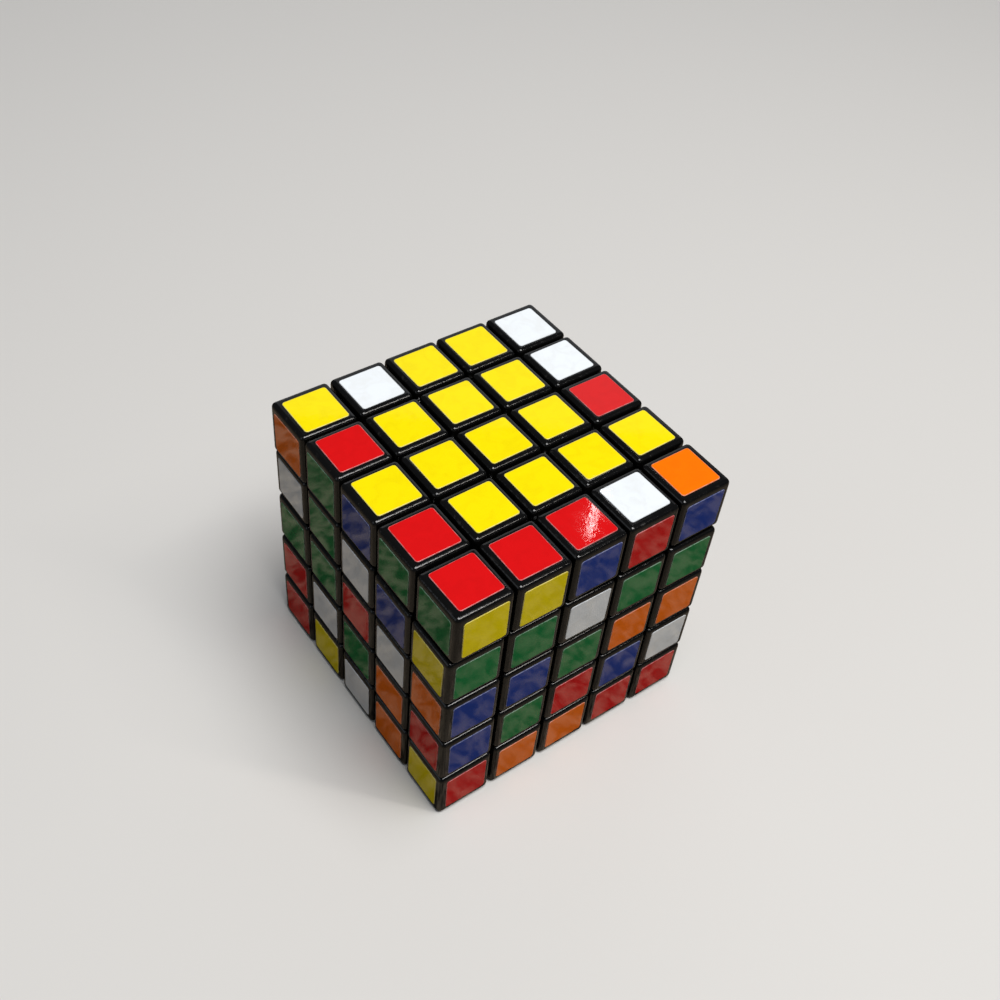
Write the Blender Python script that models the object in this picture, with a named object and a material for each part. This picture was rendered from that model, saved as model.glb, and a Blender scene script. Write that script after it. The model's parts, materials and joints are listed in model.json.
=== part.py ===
"""Twisty puzzle cube with five layers along each axis, as an assembly of pieces that can turn.

Units are metres and +Z is up. The origin is the centre of the core, which is the centre of the
cube. +X is the right face, -X the left, -Y the front and +Y the back.

Every cubie has a cap at the surface and a foot that reaches inwards. Layers are parted from each
other only by surfaces of revolution about the axis that they turn on, so any one layer turns
freely while its neighbours hold it in. A cubie is what the layers through it have in common.
Cubies that never move against one another are one piece, with the seams between their caps cut
as grooves.
"""

import math

import bmesh
import bpy
from mathutils import Matrix, Vector

MM = 0.001

# Driving sizes.
HALF = 35 * MM  # half the width of the cube
CUBIE = 2 * HALF / 5  # width of one cubie
CLEARANCE = 0.2 * MM  # from the middle of each parting surface to the piece on either side

# Where the layers part, as distances from the centre.
OUTER_SEAM = 1.5 * CUBIE  # between the face layer and the next one, at the surface
INNER_SEAM = 0.5 * CUBIE  # between the middle layer and the next one, at the surface
FOOT_LEVEL = 11 * MM  # inside the track, feet of a face layer reach down to here
DISC_LEVEL = 5 * MM  # inside the track, upper and lower layers reach down to here
TRACK_RADIUS = 33 * MM  # radius of the round track that the feet run in

# Rounding of the caps.
EDGE_CHAMFER = 0.5 * MM  # along the twelve edges of the cube
GROOVE_DEPTH = 0.8 * MM  # of the V between two caps; its sides slope at 45 degrees

# The screw, spring and bore on each of the six half-axes.
BORE_RADIUS = 3.3 * MM  # room for the screw head and the spring
BORE_FLOOR = FOOT_LEVEL + 2.2 * MM
BORE_END = 24 * MM
SHANK_RADIUS = 1.5 * MM
SHANK_HOLE_RADIUS = 1.9 * MM
THREAD_HOLE_RADIUS = 1.8 * MM
THREAD_HOLE_END = 4.5 * MM
SCREW_TIP = 5 * MM
HEAD_RADIUS = 2.9 * MM
HEAD_START = 20.3 * MM
HEAD_END = 22.3 * MM
RECESS_LENGTH = 3.4 * MM
RECESS_WIDTH = 0.8 * MM
RECESS_DEPTH = 1.0 * MM
WIRE_RADIUS = 0.4 * MM
COIL_RADIUS = 2.6 * MM
COIL_START = BORE_FLOOR + 0.7 * MM
COIL_END = HEAD_START - 0.7 * MM
COIL_TURNS = 4

# The core and the discs that turn on it.
BOSS_RADIUS = 4.6 * MM
DISC_HOLE_RADIUS = 5 * MM
CORE_CHAMFER = 1.2 * MM

# Facets of the round surfaces.
TRACK_SIDES = 32
ROUND_SIDES = 16
WIRE_SIDES = 5
WIRE_STEPS = 10  # in each turn of a spring

BEYOND = HALF + 2 * MM  # outside the flat faces of the cube
ROUND_BEYOND = 1.5 * HALF  # outside the cube's corners, measured from any axis

SIDES = ("right", "back", "left", "front")  # each a quarter turn about +Z from the one before
QUARTER = math.pi / 2


def clear_scene():
    for thing in list(bpy.data.objects):
        bpy.data.objects.remove(thing, do_unlink=True)


# ---------------------------------------------------------------------------------------------
# Solids


def finished_mesh(name, shape):
    """The mesh of a closed bmesh, with its faces pointing out."""
    bmesh.ops.recalc_face_normals(shape, faces=shape.faces)
    mesh = bpy.data.meshes.new(name)
    shape.to_mesh(mesh)
    shape.free()
    return mesh


def block(low, high, chamfer=0.0):
    """A box between two corners, with its edges chamfered if asked."""
    size = [b - a for a, b in zip(low, high)]
    middle = [(a + b) / 2 for a, b in zip(low, high)]
    place = Matrix.Translation(middle) @ Matrix.Diagonal((*size, 1.0))
    shape = bmesh.new()
    bmesh.ops.create_cube(shape, size=1.0, matrix=place)
    if chamfer:
        bmesh.ops.bevel(
            shape, geom=shape.edges[:], offset=chamfer, segments=1, affect="EDGES"
        )
    return finished_mesh("block", shape)


def along(axis):
    """The rotation that takes +Z to the axis "X", "Y" or "Z"."""
    turns = {"X": Matrix.Rotation(QUARTER, 4, "Y"), "Y": Matrix.Rotation(-QUARTER, 4, "X")}
    return turns.get(axis, Matrix.Identity(4))


def turned(profile, axis="Z", sides=ROUND_SIDES, start=0.0):
    """The solid that a profile of (radius, height) points sweeps about the axis.

    A profile that begins and ends on the axis gives a plain solid, and one that stays clear of
    the axis gives a ring.
    """
    shape = bmesh.new()
    rings = []
    for radius, height in profile:
        if radius == 0:
            rings.append([shape.verts.new((0, 0, height))] * sides)
            continue
        angles = [start + 2 * math.pi * i / sides for i in range(sides)]
        rings.append(
            [
                shape.verts.new((radius * math.cos(a), radius * math.sin(a), height))
                for a in angles
            ]
        )
    pairs = list(zip(rings, rings[1:]))
    if all(radius > 0 for radius, height in profile):
        pairs.append((rings[-1], rings[0]))
    for ring, following in pairs:
        for i in range(sides):
            j = (i + 1) % sides
            corners = dict.fromkeys((ring[i], ring[j], following[j], following[i]))
            shape.faces.new(list(corners))
    shape.transform(along(axis))
    return finished_mesh("turned", shape)


def combined(first, operation, *others):
    """The first mesh after a Boolean with each of the others in turn."""
    body = bpy.data.objects.new("body", first)
    bpy.context.scene.collection.objects.link(body)
    tools = []
    for other in others:
        tool = bpy.data.objects.new("tool", other)
        bpy.context.scene.collection.objects.link(tool)
        step = body.modifiers.new(operation, "BOOLEAN")
        step.operation = operation
        step.solver = "EXACT"
        step.object = tool
        tools.append(tool)
    graph = bpy.context.evaluated_depsgraph_get()
    result = bpy.data.meshes.new_from_object(body.evaluated_get(graph))
    for helper in (body, *tools):
        bpy.data.objects.remove(helper, do_unlink=True)
    return result


def common(first, *others):
    return combined(first, "INTERSECT", *others)


def cut(first, *others):
    return combined(first, "DIFFERENCE", *others)


def joined(first, *others):
    return combined(first, "UNION", *others)


# ---------------------------------------------------------------------------------------------
# Layers: what each one may fill, as a solid of revolution about its own axis


def face_layer(axis):
    """The outermost layer on the positive side of an axis: a slab with a round foot below it."""
    seam, foot = OUTER_SEAM + CLEARANCE, FOOT_LEVEL + CLEARANCE
    track = TRACK_RADIUS - CLEARANCE
    profile = [
        (0, foot),
        (track, foot),
        (track, seam),
        (ROUND_BEYOND, seam),
        (ROUND_BEYOND, BEYOND),
        (0, BEYOND),
    ]
    return turned(profile, axis, TRACK_SIDES)


def between_face_layers(axis):
    """All that lies between the two outermost layers of an axis: it holds their feet in."""
    seam, foot = OUTER_SEAM - CLEARANCE, FOOT_LEVEL - CLEARANCE
    track = TRACK_RADIUS + CLEARANCE
    above = [(track, foot), (track, seam), (ROUND_BEYOND, seam)]
    below = [(radius, -height) for radius, height in reversed(above)]
    return turned([(0, foot), *above, *below, (0, -foot)], axis, TRACK_SIDES)


def upper_layer():
    """The layer between the middle and the top one, stepped on both sides at the track."""
    low, step_up = DISC_LEVEL + CLEARANCE, INNER_SEAM + CLEARANCE
    high, rim = FOOT_LEVEL - CLEARANCE, OUTER_SEAM - CLEARANCE
    profile = [
        (0, low),
        (TRACK_RADIUS - CLEARANCE, low),
        (TRACK_RADIUS - CLEARANCE, step_up),
        (ROUND_BEYOND, step_up),
        (ROUND_BEYOND, rim),
        (TRACK_RADIUS + CLEARANCE, rim),
        (TRACK_RADIUS + CLEARANCE, high),
        (0, high),
    ]
    return turned(profile, "Z", TRACK_SIDES)


def middle_layer():
    """The layer across the centre: thinner inside the track than at the surface."""
    thin, rim = DISC_LEVEL - CLEARANCE, INNER_SEAM - CLEARANCE
    track = TRACK_RADIUS + CLEARANCE
    above = [(track, thin), (track, rim), (ROUND_BEYOND, rim)]
    below = [(radius, -height) for radius, height in reversed(above)]
    return turned([(0, thin), *above, *below, (0, -thin)], "Z", TRACK_SIDES)


def grooved_cube():
    """The outside of the whole cube: chamfered, with a V groove along every seam."""
    cube = block([-HALF] * 3, [HALF] * 3, EDGE_CHAMFER)
    corner = math.sqrt(2)  # radius of a square ring's corners against its sides
    floor, mouth = HALF - GROOVE_DEPTH, BEYOND
    cutters = []
    for axis in "XYZ":
        for seam in (-OUTER_SEAM, -INNER_SEAM, INNER_SEAM, OUTER_SEAM):
            spread = mouth - floor
            profile = [
                (mouth * corner, seam + spread),
                (mouth * corner, seam - spread),
                (floor * corner, seam),
            ]
            cutters.append(turned(profile, axis, 4, math.pi / 4))
    return cut(cube, *cutters)


def bore(axis):
    """The blind hole in a fixed centre for its spring and screw, open towards the core."""
    profile = [
        (0, FOOT_LEVEL - CLEARANCE),
        (SHANK_HOLE_RADIUS, FOOT_LEVEL - CLEARANCE),
        (SHANK_HOLE_RADIUS, BORE_FLOOR),
        (BORE_RADIUS, BORE_FLOOR),
        (BORE_RADIUS, BORE_END),
        (0, BORE_END),
    ]
    return turned(profile, axis)


# ---------------------------------------------------------------------------------------------
# The inside: core, screws and springs


def core_mesh():
    """The hub that the screws run into, with a boss above and below that carries a disc."""
    wide, thick = FOOT_LEVEL - CLEARANCE, DISC_LEVEL - CLEARANCE
    hub = block((-wide, -wide, -thick), (wide, wide, thick), CORE_CHAMFER)
    boss = turned([(0, -wide), (BOSS_RADIUS, -wide), (BOSS_RADIUS, wide), (0, wide)])
    solid = joined(hub, boss)
    holes = []
    for axis in "XYZ":
        for start, end in ((THREAD_HOLE_END, 2 * wide), (-2 * wide, -THREAD_HOLE_END)):
            profile = [
                (0, start),
                (THREAD_HOLE_RADIUS, start),
                (THREAD_HOLE_RADIUS, end),
                (0, end),
            ]
            holes.append(turned(profile, axis))
    return cut(solid, *holes)


def screw_mesh():
    """A pan-head screw that stands along +Z, with a cross recess in its head."""
    rounding = 0.5 * MM
    profile = [
        (0, SCREW_TIP),
        (SHANK_RADIUS * 0.6, SCREW_TIP),
        (SHANK_RADIUS, SCREW_TIP + SHANK_RADIUS),
        (SHANK_RADIUS, HEAD_START),
        (HEAD_RADIUS, HEAD_START),
        (HEAD_RADIUS, HEAD_END - rounding),
        (HEAD_RADIUS - rounding, HEAD_END),
        (0, HEAD_END),
    ]
    long, wide = RECESS_LENGTH / 2, RECESS_WIDTH / 2
    floor, top = HEAD_END - RECESS_DEPTH, HEAD_END + RECESS_DEPTH
    slots = [
        block((-long, -wide, floor), (long, wide, top)),
        block((-wide, -long, floor), (wide, long, top)),
    ]
    return cut(turned(profile), joined(*slots))


def spring_mesh():
    """A round-wire compression spring about +Z, from the bore's floor to the screw's head."""
    steps = COIL_TURNS * WIRE_STEPS
    shape = bmesh.new()
    rings = []
    for step in range(steps + 1):
        angle = 2 * math.pi * step / WIRE_STEPS
        outward = Vector((math.cos(angle), math.sin(angle), 0))
        height = COIL_START + (COIL_END - COIL_START) * step / steps
        centre = outward * COIL_RADIUS + Vector((0, 0, height))
        ring = []
        for side in range(WIRE_SIDES):
            a = 2 * math.pi * side / WIRE_SIDES
            around = outward * math.cos(a) + Vector((0, 0, 1)) * math.sin(a)
            ring.append(shape.verts.new(centre + around * WIRE_RADIUS))
        rings.append(ring)
    for ring, following in zip(rings, rings[1:]):
        for i in range(WIRE_SIDES):
            j = (i + 1) % WIRE_SIDES
            shape.faces.new((ring[i], ring[j], following[j], following[i]))
    shape.faces.new(rings[0])
    shape.faces.new(rings[-1])
    return finished_mesh("spring", shape)


# ---------------------------------------------------------------------------------------------
# Objects


def finish(name, colour, roughness, metallic=0.0):
    material = bpy.data.materials.new(name)
    material.use_nodes = True
    shader = material.node_tree.nodes["Principled BSDF"]
    shader.inputs["Base Color"].default_value = (*colour, 1.0)
    shader.inputs["Roughness"].default_value = roughness
    shader.inputs["Metallic"].default_value = metallic
    return material


def smooth(mesh, material):
    """Round faces shade smooth and creases stay sharp. The mesh takes the material."""
    mesh.materials.clear()
    mesh.materials.append(material)
    mesh.shade_smooth()
    mesh.set_sharp_from_angle(angle=math.radians(25))
    return mesh


def place(name, mesh, placing):
    thing = bpy.data.objects.new(name, mesh)
    thing.matrix_world = placing
    bpy.context.scene.collection.objects.link(thing)
    return thing


def around(mesh, side_names, levels):
    """Four copies of a piece about +Z, on each of the levels.

    A level is the name of the upper copies, or of the lower ones, which stand upside down. The
    side names say where each quarter turn takes the piece.
    """
    for level, flipped in levels:
        for turn, side in enumerate(side_names):
            placing = Matrix.Rotation(turn * QUARTER, 4, "Z")
            if flipped:
                placing = placing @ Matrix.Rotation(math.pi, 4, "X")
            place(level.format(side), mesh, placing)


def build_face_layers(cube, plastic):
    """The top layer's pieces, and the same ones upside down at the bottom."""
    across = [between_face_layers("X"), between_face_layers("Y")]
    top = face_layer("Z")
    corner = common(cube, face_layer("X"), face_layer("Y"), top)
    row = common(cube, face_layer("X"), across[1], top)
    centres = common(cube, *across, top)
    inside, outside = INNER_SEAM - CLEARANCE, INNER_SEAM + CLEARANCE
    fixed = common(centres, block((-inside, -inside, 0), (inside, inside, BEYOND)))
    fixed = cut(fixed, bore("Z"))
    ring = cut(centres, block((-outside, -outside, 0), (outside, outside, BEYOND)))
    for mesh in (corner, row, fixed, ring):
        smooth(mesh, plastic)

    upside_down = Matrix.Rotation(math.pi, 4, "X")
    for level, placing in (("top", Matrix.Identity(4)), ("bottom", upside_down)):
        place(level + "_fixed_centre", fixed, placing)
        place(level + "_centre_ring", ring, placing)
    around(row, SIDES, (("top_edge_row_{}", False), ("bottom_edge_row_{}", True)))
    around(corner, corner_names(False), (("top_corner_{}", False),))
    around(corner, corner_names(True), (("bottom_corner_{}", True),))


def corner_names(flipped):
    """Where quarter turns take a piece that starts between two sides.

    It starts between right and back, or between right and front when it stands upside down.
    """
    shift = -1 if flipped else 0
    names = []
    for turn in range(4):
        pair = (SIDES[(turn + shift) % 4], SIDES[(turn + shift + 1) % 4])
        names.append("_".join(sorted(pair, key=("front", "back", "left", "right").index)))
    return names


def build_inner_layers(cube, plastic, core_plastic):
    """The layers next to the middle one, with the discs that join them to the core."""
    across = [between_face_layers("X"), between_face_layers("Y")]
    layer = upper_layer()
    wing = common(cube, face_layer("X"), face_layer("Y"), layer)
    row = common(cube, face_layer("X"), across[1], layer)
    wide = FOOT_LEVEL - CLEARANCE
    disc = block(
        (-wide, -wide, DISC_LEVEL + CLEARANCE),
        (wide, wide, FOOT_LEVEL - CLEARANCE),
    )
    hole = turned([(0, 0), (DISC_HOLE_RADIUS, 0), (DISC_HOLE_RADIUS, HALF), (0, HALF)])
    disc = cut(disc, hole)
    for mesh in (wing, row):
        smooth(mesh, plastic)
    smooth(disc, core_plastic)

    around(row, SIDES, (("upper_centre_row_{}", False), ("lower_centre_row_{}", True)))
    around(wing, corner_names(False), (("upper_wing_{}", False),))
    around(wing, corner_names(True), (("lower_wing_{}", True),))
    place("upper_disc", disc, Matrix.Identity(4))
    place("lower_disc", disc, Matrix.Rotation(math.pi, 4, "X"))


def build_middle_layer(cube, plastic):
    """The middle layer: four rows that hold a fixed centre each, and four midges."""
    layer = middle_layer()
    midge = common(cube, face_layer("X"), face_layer("Y"), layer)
    row = common(cube, face_layer("X"), between_face_layers("Y"), layer)
    row = cut(row, bore("X"))
    for mesh in (midge, row):
        smooth(mesh, plastic)
    around(row, SIDES, (("middle_centre_row_{}", False),))
    around(midge, corner_names(False), (("midge_{}", False),))


def build_inside(core_plastic, screw_steel, spring_steel):
    place("core", smooth(core_mesh(), core_plastic), Matrix.Identity(4))
    screw = smooth(screw_mesh(), screw_steel)
    spring = smooth(spring_mesh(), spring_steel)
    ways = {"top": Matrix.Identity(4), "bottom": Matrix.Rotation(math.pi, 4, "X")}
    for turn, side in enumerate(SIDES):
        ways[side] = Matrix.Rotation(turn * QUARTER, 4, "Z") @ along("X")
    for way, placing in ways.items():
        place("screw_" + way, screw, placing)
        place("spring_" + way, spring, placing)


def main():
    clear_scene()
    plastic = finish("cubie_plastic", (0.012, 0.011, 0.011), 0.22)
    core_plastic = finish("core_plastic", (0.05, 0.05, 0.055), 0.45)
    screw_steel = finish("screw_steel", (0.55, 0.56, 0.58), 0.3, 1.0)
    spring_steel = finish("spring_steel", (0.42, 0.43, 0.45), 0.35, 1.0)

    cube = grooved_cube()
    build_face_layers(cube, plastic)
    build_inner_layers(cube, plastic, core_plastic)
    build_middle_layer(cube, plastic)
    build_inside(core_plastic, screw_steel, spring_steel)


main()
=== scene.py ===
"""Looks of the twisty puzzle cube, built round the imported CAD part.

The CAD rows and rings are split into the single cubies that they stand for, each with rounded
cap edges, and every outward cap gets its own vinyl sticker. Lengths are metres, in the frame of
the CAD part: +X right face, -Y front face, +Z up, origin at the centre of the core.
"""

import itertools
import json
import math
import random

import bmesh
import bpy
from mathutils import Euler, Matrix, Vector

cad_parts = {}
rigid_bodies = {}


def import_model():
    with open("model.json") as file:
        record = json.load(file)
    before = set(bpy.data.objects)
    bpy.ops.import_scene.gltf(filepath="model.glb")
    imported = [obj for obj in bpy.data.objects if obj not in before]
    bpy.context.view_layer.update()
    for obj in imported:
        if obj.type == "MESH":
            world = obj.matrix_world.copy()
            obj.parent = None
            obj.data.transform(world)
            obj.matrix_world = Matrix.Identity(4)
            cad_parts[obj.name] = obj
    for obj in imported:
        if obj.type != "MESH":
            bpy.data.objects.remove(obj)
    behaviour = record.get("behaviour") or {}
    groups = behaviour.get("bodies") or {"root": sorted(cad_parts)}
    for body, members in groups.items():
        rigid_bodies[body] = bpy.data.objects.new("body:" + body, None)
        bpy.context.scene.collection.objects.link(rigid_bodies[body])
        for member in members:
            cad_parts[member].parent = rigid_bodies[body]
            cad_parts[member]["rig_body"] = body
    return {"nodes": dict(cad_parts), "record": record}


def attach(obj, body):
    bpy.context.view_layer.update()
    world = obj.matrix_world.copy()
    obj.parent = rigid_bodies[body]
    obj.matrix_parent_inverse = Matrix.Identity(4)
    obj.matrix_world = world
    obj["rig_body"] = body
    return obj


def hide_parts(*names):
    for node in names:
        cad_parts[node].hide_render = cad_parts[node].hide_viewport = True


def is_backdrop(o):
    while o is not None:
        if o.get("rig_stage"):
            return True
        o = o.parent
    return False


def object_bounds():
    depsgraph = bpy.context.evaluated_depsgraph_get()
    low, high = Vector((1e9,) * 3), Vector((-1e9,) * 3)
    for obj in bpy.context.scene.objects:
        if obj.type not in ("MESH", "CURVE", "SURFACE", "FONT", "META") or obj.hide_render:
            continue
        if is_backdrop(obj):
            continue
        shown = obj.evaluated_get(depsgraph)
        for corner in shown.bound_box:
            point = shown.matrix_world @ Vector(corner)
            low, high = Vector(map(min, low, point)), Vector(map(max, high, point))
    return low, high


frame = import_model()
cad_low, cad_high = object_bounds()

MM = 0.001
HALF = cad_high[0]
CUBIE = 2 * HALF / 5
LAYERS = range(-2, 3)

# Cubies
CAP_GAP = 0.3 * MM  # from the seam's middle to the cap on either side
CAP_ROUNDING = 1.1 * MM
ROUNDING_STEPS = 5
FOOT_INNER_END = 4 * MM  # how near the centre a foot may reach
FOOT_OUTER_END = HALF - 2.1 * MM  # feet stay this far inside the faces
FOOT_HALF_WIDTH = 10.95 * MM  # feet of rows and rings stay inside this
FOOT_SPLIT = 0.35 * MM  # from the seam's middle to the foot on either side
SMOOTH_BELOW = math.radians(28)

# Stickers
STICKER_WIDTH = 10.65 * MM
STICKER_CORNER = 0.7 * MM
STICKER_CORNER_STEPS = 7
STICKER_THICKNESS = 0.13 * MM
RIM_WIDTH = 0.15 * MM
RIM_DROP = 0.55  # how far the cut edge slopes down, as a share of the thickness
STICKER_SHIFT = 0.09 * MM  # most that a sticker is off its cap's centre
STICKER_TURN = math.radians(0.7)  # most that a sticker is out of square
SOILING = 0.06  # share of a sticker's colour that handling has taken, at most

# How far each horizontal layer is out of line, from the top down, and how much each cubie sits
# out of true in its layer.
LAYER_TURNS = [math.radians(a) for a in (0.4, -0.4, -0.1, -0.1, 0.15)]
CUBIE_TILT = math.radians(0.12)
CUBIE_SHIFT = 0.05 * MM

# Colours of the plastics and metals, and of the floor as the camera and as reflections see it.
BLACK, WORN_BLACK = (0.0026, 0.0024, 0.0022), (0.16, 0.15, 0.14)
NYLON_DARK, NYLON_PALE = (0.03, 0.03, 0.034), (0.06, 0.06, 0.065)
ZINC, WIRE = (0.62, 0.63, 0.65), (0.45, 0.46, 0.48)
FLOOR, STONE_DARK, STONE_PALE = (0.72, 0.70, 0.67), (0.035, 0.027, 0.019), (0.40, 0.325, 0.24)
DUST_GREY = 0.35
RIM_PALE, RIM_DIRTY = 0.5, 0.2

# The colours on each face, row by row. The top reads from the back row to the front row and the
# sides read from the top row down, each as seen from outside with the top face up. The bottom
# reads from the front row to the back row, as seen from below.
FACES = {
    "top": ["YWYYW", "RYYYW", "YYYYR", "RYYYY", "RRRWO"],
    "front": ["YYBRB", "GGWGG", "BBGOO", "BGRBW", "ROORR"],
    "left": ["OGBGG", "WGWBY", "GGRWO", "RWGOR", "RYWOY"],
    "back": ["GGGBG", "GRRRB", "GOBRR", "GBGRY", "WBWYB"],
    "right": ["YOWOO", "OWWWW", "GOOGW", "RBBOW", "GGRBB"],
    "bottom": ["BWYBW", "BWROO", "OBWOY", "OOBRY", "WBBOO"],
}
# Outward direction, and the directions in which a face's columns and rows run.
FACE_DIRECTIONS = {
    "top": ((0, 0, 1), (1, 0, 0), (0, -1, 0)),
    "front": ((0, -1, 0), (1, 0, 0), (0, 0, -1)),
    "left": ((-1, 0, 0), (0, -1, 0), (0, 0, -1)),
    "back": ((0, 1, 0), (-1, 0, 0), (0, 0, -1)),
    "right": ((1, 0, 0), (0, 1, 0), (0, 0, -1)),
    "bottom": ((0, 0, -1), (1, 0, 0), (0, 1, 0)),
}
# Name, colour, and how strongly reflections in the vinyl take its colour.
STICKER_COLOURS = {
    "W": ("white", (0.87, 0.91, 0.94), 0.0),
    "Y": ("yellow", (0.96, 0.785, 0.002), 0.8),
    "R": ("red", (0.70, 0.005, 0.006), 0.0),
    "O": ("orange", (0.98, 0.185, 0.0005), 0.4),
    "G": ("green", (0.005, 0.20, 0.05), 0.15),
    "B": ("blue", (0.010, 0.042, 0.29), 0.0),
}

dice = random.Random(7)


# ---------------------------------------------------------------------------------------------
# Materials


PIECE_SPREAD = 7.3  # metres that patterns move along, at most, between one piece and another


class Nodes:
    """A material's node tree, with short ways to add and join nodes."""

    def __init__(self, name):
        self.material = bpy.data.materials.new(name)
        self.material.use_nodes = True
        self.tree = self.material.node_tree
        self.shader = self.tree.nodes["Principled BSDF"]

    def add(self, kind, **settings):
        node = self.tree.nodes.new("ShaderNode" + kind)
        for key, value in settings.items():
            setattr(node, key, value)
        return node

    def join(self, source, target):
        self.tree.links.new(source, target)

    def feed(self, target, value):
        """Joins an output to the input, or sets the input to a plain value."""
        if isinstance(value, bpy.types.NodeSocket):
            self.join(value, target)
        else:
            target.default_value = value

    def maths(self, operation, a, b=0.0, clamp=False):
        node = self.add("Math", operation=operation, use_clamp=clamp)
        self.feed(node.inputs[0], a)
        self.feed(node.inputs[1], b)
        return node.outputs[0]

    def spread(self, value, low, high, out_low=0.0, out_high=1.0):
        """The value between low and high, mapped smoothly to between out_low and out_high."""
        node = self.add("MapRange", interpolation_type="SMOOTHSTEP")
        inputs = (value, low, high, out_low, out_high)
        for socket, given in zip(node.inputs, inputs):
            self.feed(socket, given)
        return node.outputs["Result"]

    def mixed(self, factor, a, b):
        node = self.add("Mix", data_type="RGBA")
        self.feed(node.inputs["Factor"], factor)
        self.feed(node.inputs["A"], a)
        self.feed(node.inputs["B"], b)
        return node.outputs["Result"]

    def place(self, scale=(1, 1, 1)):
        """Object coordinates, shifted by a different amount on each piece."""
        coordinates = self.add("TexCoord").outputs["Object"]
        piece = self.add("ObjectInfo").outputs["Random"]
        shift = self.maths("MULTIPLY", piece, PIECE_SPREAD)
        moved = self.add("VectorMath", operation="ADD")
        self.join(coordinates, moved.inputs[0])
        self.join(shift, moved.inputs[1])
        scaled = self.add("VectorMath", operation="MULTIPLY")
        self.join(moved.outputs[0], scaled.inputs[0])
        scaled.inputs[1].default_value = scale
        return scaled.outputs[0]

    def noise(self, scale, detail=3.0, distortion=0.0, where=None):
        node = self.add("TexNoise")
        self.join(where or self.place(), node.inputs["Vector"])
        node.inputs["Scale"].default_value = scale
        node.inputs["Detail"].default_value = detail
        node.inputs["Distortion"].default_value = distortion
        return node.outputs["Fac"]

    def bump(self, height, distance, strength, onto=None):
        """The surface's normal with bumps, on top of the normal that another bump gave."""
        node = self.add("Bump")
        node.inputs["Distance"].default_value = distance
        node.inputs["Strength"].default_value = strength
        self.join(height, node.inputs["Height"])
        if onto:
            self.join(onto, node.inputs["Normal"])
        return node.outputs["Normal"]

    def set(self, **inputs):
        names = {
            "colour": "Base Color",
            "roughness": "Roughness",
            "metallic": "Metallic",
            "normal": "Normal",
            "specular": "Specular IOR Level",
            "tint": "Specular Tint",
        }
        for key, value in inputs.items():
            self.feed(self.shader.inputs[names[key]], value)
        return self.material


def rgba(colour):
    return (*colour, 1.0)


def greyed(colour, share, grey):
    return rgba([(1 - share) * c + share * grey for c in colour])


def cap_plastic():
    """Glossy black moulded plastic, dented and scuffed along its rounded edges."""
    nodes = Nodes("black_plastic")
    facing = nodes.add("SeparateXYZ")
    nodes.join(nodes.add("TexCoord").outputs["Normal"], facing.inputs[0])
    flatness = 0.0
    for part in facing.outputs:
        flatness = nodes.maths("MAXIMUM", flatness, nodes.maths("ABSOLUTE", part))
    edge = nodes.spread(flatness, low=0.99, high=0.80)
    grime = nodes.noise(scale=420.0, detail=5.0)
    scuffs = nodes.noise(scale=650.0, detail=3.0, distortion=1.0)
    wear = nodes.maths("MULTIPLY", edge, nodes.spread(scuffs, low=0.58, high=0.76))
    paler = nodes.maths("MULTIPLY", wear, 0.10)
    colour = nodes.mixed(paler, rgba(BLACK), rgba(WORN_BLACK))
    gloss = nodes.spread(grime, low=0.3, high=0.75, out_low=0.10, out_high=0.16)
    rough = nodes.maths("ADD", gloss, nodes.maths("MULTIPLY", wear, 0.10))
    dents = nodes.maths("MULTIPLY", edge, nodes.noise(scale=800.0, detail=2.0))
    worn = nodes.bump(dents, distance=0.05 * MM, strength=0.8)
    waves = nodes.noise(scale=250.0, detail=2.0)
    normal = nodes.bump(waves, distance=0.03 * MM, strength=0.2, onto=worn)
    return nodes.set(colour=colour, roughness=rough, specular=0.46, normal=normal)


def sticker_vinyl(name, colour, tinting):
    """Glossy vinyl, a little wavy, with handling smears, fine scuffs and faint soiling."""
    nodes = Nodes("vinyl_" + name)
    smear = nodes.noise(scale=230.0, detail=5.0, distortion=1.8, where=nodes.place((1.0, 0.6, 1.0)))
    smeared = nodes.spread(smear, low=0.40, high=0.62)
    scuff = nodes.noise(scale=1300.0, detail=5.0, distortion=0.6)
    scuffed = nodes.spread(scuff, low=0.46, high=0.60)
    dust = nodes.spread(nodes.noise(scale=2400.0, detail=3.0), low=0.62, high=0.76)
    soil = nodes.spread(nodes.noise(scale=280.0, detail=5.0, distortion=1.0), low=0.40, high=0.70)

    yellowing = (0.8, 1.0, 1.3)  # soiling takes more of the blue than of the red
    soiled = rgba([c * (1 - SOILING * loss) for c, loss in zip(colour, yellowing)])
    stained = nodes.mixed(soil, rgba(colour), soiled)
    shade = nodes.mixed(nodes.maths("MULTIPLY", dust, 0.03), stained, greyed(colour, 0.3, DUST_GREY))

    film = nodes.maths("MULTIPLY", smeared, nodes.maths("MULTIPLY", scuffed, 0.02))
    gloss = nodes.spread(smear, low=0.36, high=0.66, out_low=0.02, out_high=0.045)
    rough = nodes.maths("ADD", gloss, film)

    broad = nodes.noise(scale=330.0, detail=2.0, distortion=0.8)
    fine = nodes.noise(scale=1500.0, detail=2.0)
    waves = nodes.bump(broad, distance=0.006 * MM, strength=0.4)
    normal = nodes.bump(fine, distance=0.005 * MM, strength=0.4, onto=waves)
    tint = rgba([1 + tinting * (c / max(colour) - 1) for c in colour])
    return nodes.set(colour=shade, roughness=rough, specular=0.4, tint=tint, normal=normal)


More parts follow.
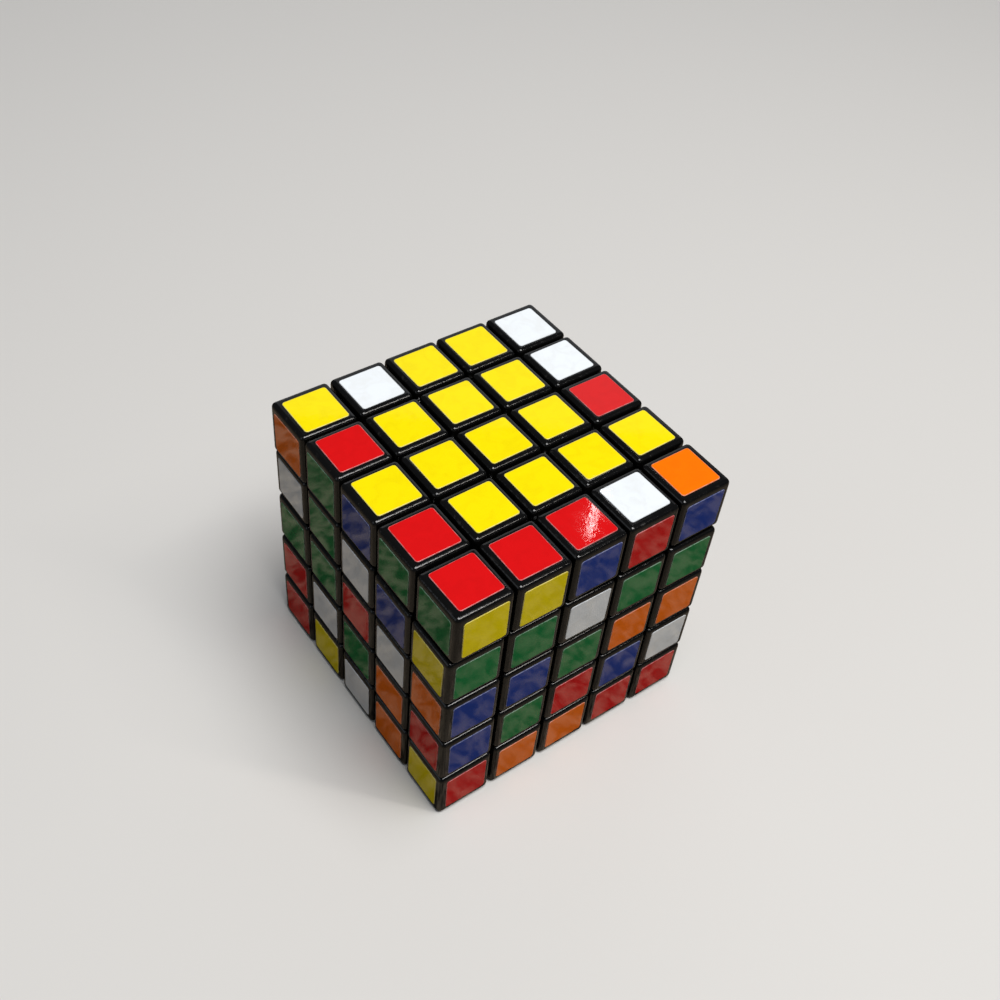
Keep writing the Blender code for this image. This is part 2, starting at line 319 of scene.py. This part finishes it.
def sticker_rim(name, colour):
    """The pale cut edge of the vinyl."""
    nodes = Nodes("vinyl_edge_" + name)
    dirty, pale = greyed(colour, 0.3, RIM_DIRTY), greyed(colour, 0.4, RIM_PALE)
    mask = nodes.spread(nodes.noise(scale=900.0, detail=3.0), low=0.35, high=0.6)
    return nodes.set(colour=nodes.mixed(mask, dirty, pale), roughness=0.35, specular=0.5)


def core_plastic():
    """Satin nylon with a fine moulded grain."""
    nodes = Nodes("core_nylon")
    mottle = nodes.noise(scale=300.0, detail=4.0)
    colour = nodes.mixed(mottle, rgba(NYLON_DARK), rgba(NYLON_PALE))
    rough = nodes.spread(mottle, low=0.3, high=0.7, out_low=0.4, out_high=0.55)
    grain = nodes.bump(nodes.noise(scale=3000.0, detail=2.0), distance=0.01 * MM, strength=0.4)
    return nodes.set(colour=colour, roughness=rough, normal=grain)


def steel(name, colour, streak):
    """Bright steel with fine drawing or turning lines."""
    nodes = Nodes(name)
    lines = nodes.noise(scale=900.0, detail=3.0, where=nodes.place(streak))
    shade = nodes.mixed(lines, rgba([c * 0.7 for c in colour]), rgba(colour))
    rough = nodes.spread(lines, low=0.3, high=0.7, out_low=0.22, out_high=0.4)
    return nodes.set(colour=shade, roughness=rough, metallic=1.0)


# ---------------------------------------------------------------------------------------------
# Which CAD node and body each cubie belongs to


def node_of(cell):
    """The CAD node that holds a cubie, from its place in the grid."""
    i, j, k = cell
    level = ("bottom", "lower", "middle", "upper", "top")[k + 2]
    across = "right" if i > 0 else "left"
    along = "back" if j > 0 else "front"
    if abs(i) == 2 and abs(j) == 2:
        kind = {2: level + "_corner", 1: level + "_wing", 0: "midge"}[abs(k)]
        return f"{kind}_{along}_{across}"
    if abs(i) == 2 or abs(j) == 2:
        kind = "edge_row" if abs(k) == 2 else "centre_row"
        return f"{level}_{kind}_{across if abs(i) == 2 else along}"
    return level + ("_fixed_centre" if i == j == 0 else "_centre_ring")


def surface_cells():
    return [c for c in itertools.product(LAYERS, repeat=3) if 2 in map(abs, c)]


def name_of(cell):
    return "cubie_" + "".join("abcde"[n + 2] for n in cell)


# ---------------------------------------------------------------------------------------------
# Cubies


def box_mesh(low, high, rounding=0.0):
    shape = bmesh.new()
    size = [b - a for a, b in zip(low, high)]
    middle = [(a + b) / 2 for a, b in zip(low, high)]
    place = Matrix.Translation(middle) @ Matrix.Diagonal((*size, 1.0))
    bmesh.ops.create_cube(shape, size=1.0, matrix=place)
    if rounding:
        bmesh.ops.bevel(
            shape,
            geom=shape.edges[:],
            offset=rounding,
            segments=ROUNDING_STEPS,
            profile=0.5,
            affect="EDGES",
        )
    bmesh.ops.recalc_face_normals(shape, faces=shape.faces)
    mesh = bpy.data.meshes.new("box")
    shape.to_mesh(mesh)
    shape.free()
    return mesh


def helper(mesh):
    thing = bpy.data.objects.new("helper", mesh)
    bpy.context.scene.collection.objects.link(thing)
    return thing


def solid_result(first, *steps):
    """The first mesh after Booleans, each given as (operation, mesh)."""
    body = helper(first)
    tools = []
    for operation, mesh in steps:
        tools.append(helper(mesh))
        modifier = body.modifiers.new(operation, "BOOLEAN")
        modifier.operation = operation
        modifier.solver = "EXACT"
        modifier.object = tools[-1]
    graph = bpy.context.evaluated_depsgraph_get()
    result = bpy.data.meshes.new_from_object(body.evaluated_get(graph))
    for thing in (body, *tools):
        bpy.data.objects.remove(thing, do_unlink=True)
    return result


def cap_range(n):
    """Where a cap lies along one axis, from the cubie's place n on that axis."""
    low, high = (n - 0.5) * CUBIE + CAP_GAP, (n + 0.5) * CUBIE - CAP_GAP
    if n == 2:
        high = HALF
    if n == -2:
        low = -HALF
    return low, high


def foot_range(n):
    """Where a foot may lie along one axis."""
    if n == 0:
        half = CUBIE / 2 - FOOT_SPLIT
        return -half, half
    inner, outer = CUBIE / 2 + FOOT_SPLIT, FOOT_HALF_WIDTH
    if abs(n) == 2:
        inner, outer = FOOT_INNER_END, FOOT_OUTER_END
    return (inner, outer) if n > 0 else (-outer, -inner)


def level_range(n):
    """Where a foot may lie along Z, where the layers next to the middle reach further in."""
    if n == 0:
        return -CUBIE / 2, CUBIE / 2
    inner, outer = FOOT_INNER_END, FOOT_HALF_WIDTH
    if abs(n) == 2:
        outer = FOOT_OUTER_END
    return (inner, outer) if n > 0 else (-outer, -inner)


def cubie_mesh(cell):
    """The CAD solid within this cubie's rounded cap and foot."""
    caps = [cap_range(n) for n in cell]
    feet = [foot_range(cell[0]), foot_range(cell[1]), level_range(cell[2])]
    cap = box_mesh([r[0] for r in caps], [r[1] for r in caps], CAP_ROUNDING)
    foot = box_mesh([r[0] for r in feet], [r[1] for r in feet])
    source = frame["nodes"][node_of(cell)].data.copy()
    source.materials.clear()
    shape = bmesh.new()
    shape.from_mesh(source)
    bmesh.ops.remove_doubles(shape, verts=shape.verts, dist=0.0005 * MM)
    shape.to_mesh(source)
    shape.free()
    envelope = solid_result(cap, ("UNION", foot))
    mesh = solid_result(source, ("INTERSECT", envelope))
    mesh.name = name_of(cell)
    return mesh


def smoothed(thing):
    """Rounded faces shade smooth, and flat ones stay flat."""
    thing.data.shade_smooth()
    thing.data.set_sharp_from_angle(angle=SMOOTH_BELOW)
    weighting = thing.modifiers.new("flat faces", "WEIGHTED_NORMAL")
    weighting.keep_sharp = True
    weighting.weight = 100


def layer_turn(cell):
    return Matrix.Rotation(LAYER_TURNS[2 - cell[2]], 4, "Z")


def out_of_true(cell):
    """A cubie's small turn and shift in its place, with that of its layer."""
    centre = Vector(cell) * CUBIE
    tilt = Euler([dice.uniform(-CUBIE_TILT, CUBIE_TILT) for _ in range(3)]).to_matrix().to_4x4()
    shift = Vector([dice.uniform(-CUBIE_SHIFT, CUBIE_SHIFT) for _ in range(3)])
    own = Matrix.Translation(centre + shift) @ tilt @ Matrix.Translation(-centre)
    return layer_turn(cell) @ own


def build_cubies(material):
    """Every cubie, and where each one stands."""
    places = {}
    for cell in surface_cells():
        mesh = cubie_mesh(cell)
        mesh.materials.append(material)
        cubie = bpy.data.objects.new(name_of(cell), mesh)
        bpy.context.scene.collection.objects.link(cubie)
        places[cell] = out_of_true(cell)
        cubie.matrix_world = places[cell]
        smoothed(cubie)
        node = node_of(cell)
        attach(cubie, frame["nodes"][node]["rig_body"])
        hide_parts(node)
    return places


# ---------------------------------------------------------------------------------------------
# Stickers


def rounded_square(width, corner, height):
    """Points round a square with rounded corners."""
    points = []
    reach = width / 2 - corner
    for quarter in range(4):
        start = quarter * math.pi / 2
        middle = Matrix.Rotation(start, 3, "Z") @ Vector((reach, reach, 0))
        for step in range(STICKER_CORNER_STEPS + 1):
            angle = start + step / STICKER_CORNER_STEPS * math.pi / 2
            arc = Vector((math.cos(angle), math.sin(angle), 0)) * corner
            points.append(middle + arc + Vector((0, 0, height)))
    return points


def sticker_mesh():
    """A thin vinyl square that lies on Z = 0, with a sloping cut edge as its second material."""
    shape = bmesh.new()
    top_width = STICKER_WIDTH - 2 * RIM_WIDTH
    top_corner = STICKER_CORNER - RIM_WIDTH
    outlines = [
        rounded_square(STICKER_WIDTH, STICKER_CORNER, 0),
        rounded_square(STICKER_WIDTH, STICKER_CORNER, STICKER_THICKNESS * (1 - RIM_DROP)),
        rounded_square(top_width, top_corner, STICKER_THICKNESS),
    ]
    rings = [[shape.verts.new(p) for p in outline] for outline in outlines]
    count = len(rings[0])
    for ring, following in zip(rings, rings[1:]):
        for i in range(count):
            j = (i + 1) % count
            face = shape.faces.new((ring[i], ring[j], following[j], following[i]))
            face.material_index = 1
            face.smooth = True
    shape.faces.new(rings[-1])
    shape.faces.new(list(reversed(rings[0])))
    mesh = bpy.data.meshes.new("sticker")
    shape.to_mesh(mesh)
    shape.free()
    return mesh


def build_stickers(places):
    """A sticker on every outward cap, a little out of place on it."""
    shape = sticker_mesh()
    sheets = {}
    for letter, (name, colour, tinting) in STICKER_COLOURS.items():
        mesh = shape.copy()
        mesh.materials.append(sticker_vinyl(name, colour, tinting))
        mesh.materials.append(sticker_rim(name, colour))
        sheets[letter] = mesh
    for face, rows in FACES.items():
        out, column_way, row_way = (Vector(v) for v in FACE_DIRECTIONS[face])
        turned = Matrix((column_way, -row_way, out)).transposed().to_4x4()
        for row, letters in enumerate(rows):
            for column, letter in enumerate(letters):
                spot = out * 2 + column_way * (column - 2) + row_way * (row - 2)
                cell = tuple(round(n) for n in spot)
                centre = spot * CUBIE + out * (HALF - 2 * CUBIE)
                shift = Vector([dice.uniform(-STICKER_SHIFT, STICKER_SHIFT) for _ in "xy"] + [0])
                skew = Matrix.Rotation(dice.uniform(-STICKER_TURN, STICKER_TURN), 4, "Z")
                label = bpy.data.objects.new(f"sticker_{face}_{row + 1}_{column + 1}", sheets[letter])
                bpy.context.scene.collection.objects.link(label)
                label.matrix_world = (
                    places[cell]
                    @ Matrix.Translation(centre)
                    @ turned
                    @ Matrix.Translation(shift)
                    @ skew
                )
                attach(label, frame["nodes"][node_of(cell)]["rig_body"])


# ---------------------------------------------------------------------------------------------
# The inside, which keeps its CAD solids


def dress_inside():
    looks = {
        "core_plastic": core_plastic(),
        "screw_steel": steel("zinc_steel", ZINC, streak=(1, 1, 8)),
        "spring_steel": steel("spring_wire", WIRE, streak=(6, 6, 1)),
    }
    for entry in frame["record"]["subparts"]:
        material = looks.get(entry["material_slot"])
        if material:
            mesh = frame["nodes"][entry["node"]].data
            mesh.materials.clear()
            mesh.materials.append(material)


# ---------------------------------------------------------------------------------------------
# Floor, lights and camera


FLOOR_REACH = 6.0
CENTRE = Vector((0, 0, 0))
WALLS, WALLS_BRIGHTNESS = (0.80, 0.88, 1.0), 0.09
WARM, COOL, FAINTLY_COOL = (1.0, 0.95, 0.88), (0.85, 0.92, 1.0), (0.95, 0.97, 1.0)
# The camera sees the lamp behind mirrored here, in a sticker on the top.
GLARE_POINT = Vector((4.3 * MM, -2 * CUBIE + 0.8 * MM, HALF))
GLARE_LAMP_DISTANCE = 2.0


def floor():
    """A plain pale floor, which is a speckled stone in reflections and as bounce light."""
    shape = bmesh.new()
    bmesh.ops.create_grid(shape, x_segments=1, y_segments=1, size=FLOOR_REACH)
    mesh = bpy.data.meshes.new("floor")
    shape.to_mesh(mesh)
    shape.free()
    ground = bpy.data.objects.new("floor", mesh)
    bpy.context.scene.collection.objects.link(ground)
    ground.location.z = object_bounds()[0][2]
    nodes = Nodes("floor")
    seen = nodes.add("LightPath").outputs["Is Camera Ray"]
    grains = nodes.noise(scale=260.0, detail=3.0, distortion=0.5)
    stone = nodes.mixed(
        nodes.spread(grains, low=0.34, high=0.66), rgba(STONE_DARK), rgba(STONE_PALE)
    )
    colour = nodes.mixed(seen, stone, rgba(FLOOR))
    mesh.materials.append(nodes.set(colour=colour, roughness=0.6, specular=0.2))
    ground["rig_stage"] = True


def lamp(name, position, width, height, watts, colour=(1, 1, 1), target=CENTRE):
    """A rectangular lamp that faces the target."""
    light = bpy.data.lights.new(name, "AREA")
    light.shape = "RECTANGLE"
    light.size, light.size_y = width, height
    light.energy = watts
    light.color = colour
    thing = bpy.data.objects.new(name, light)
    thing.visible_camera = False
    bpy.context.scene.collection.objects.link(thing)
    thing.location = position
    thing.rotation_euler = (target - position).to_track_quat("-Z", "Y").to_euler()


def lighting():
    """A soft box above, a lamp over the front, two fills, a small lamp behind and dim walls."""
    world = bpy.data.worlds.new("room")
    world.use_nodes = True
    background = world.node_tree.nodes["Background"]
    background.inputs["Color"].default_value = rgba(WALLS)
    background.inputs["Strength"].default_value = WALLS_BRIGHTNESS
    bpy.context.scene.world = world
    lamp("soft box", Vector((0.08, -0.26, 1.0)), width=0.55, height=0.55, watts=10.3)
    lamp(
        "lamp over the front",
        Vector((0.62, -0.76, 1.26)),
        width=0.10,
        height=0.55,
        watts=2.8,
        colour=WARM,
    )
    lamp(
        "fill from the left",
        Vector((-1.2, 0.3, 0.6)),
        width=0.8,
        height=0.8,
        watts=1.1,
        colour=COOL,
    )
    lamp(
        "fill from behind",
        Vector((0.9, 1.3, 0.5)),
        width=1.6,
        height=1.6,
        watts=4.0,
        colour=FAINTLY_COOL,
    )
    way = (bpy.context.scene.camera.location - GLARE_POINT).normalized()
    mirrored = Vector((-way.x, -way.y, way.z))
    lamp(
        "lamp behind",
        GLARE_POINT + mirrored * GLARE_LAMP_DISTANCE,
        width=0.012,
        height=0.095,
        watts=0.062,
        target=GLARE_POINT,
    )


# The camera looks down at the corner between the front and left faces.
CAMERA_AZIMUTH = math.radians(-40.6)  # from straight in front, towards +X
CAMERA_ELEVATION = math.radians(46.1)
CAMERA_ROLL = math.radians(6.8)
CAMERA_DISTANCE = 275 * MM
CAMERA_SHIFT = (3.1 * MM, 11.5 * MM)  # sideways and upwards in the picture
CAMERA_LENS = 42.7  # on a 36 mm sensor


def camera():
    """The camera, aimed at the cube's centre and then rolled and shifted."""
    flat = math.cos(CAMERA_ELEVATION)
    back = Vector(
        (
            math.sin(CAMERA_AZIMUTH) * flat,
            -math.cos(CAMERA_AZIMUTH) * flat,
            math.sin(CAMERA_ELEVATION),
        )
    )
    level = (-back).cross(Vector((0, 0, 1))).normalized()
    roll = Matrix.Rotation(CAMERA_ROLL, 3, back)
    right = roll @ level
    up = back.cross(right)
    position = back * CAMERA_DISTANCE + right * CAMERA_SHIFT[0] + up * CAMERA_SHIFT[1]
    data = bpy.data.cameras.new("camera")
    data.lens = CAMERA_LENS
    data.sensor_width = 36
    data.clip_start = 0.01
    thing = bpy.data.objects.new("camera", data)
    bpy.context.scene.collection.objects.link(thing)
    axes = Matrix((right, up, back)).transposed().to_4x4()
    thing.matrix_world = Matrix.Translation(position) @ axes
    bpy.context.scene.camera = thing


build_stickers(build_cubies(cap_plastic()))
dress_inside()
floor()
camera()
lighting()
bpy.context.scene.view_settings.view_transform = "Standard"
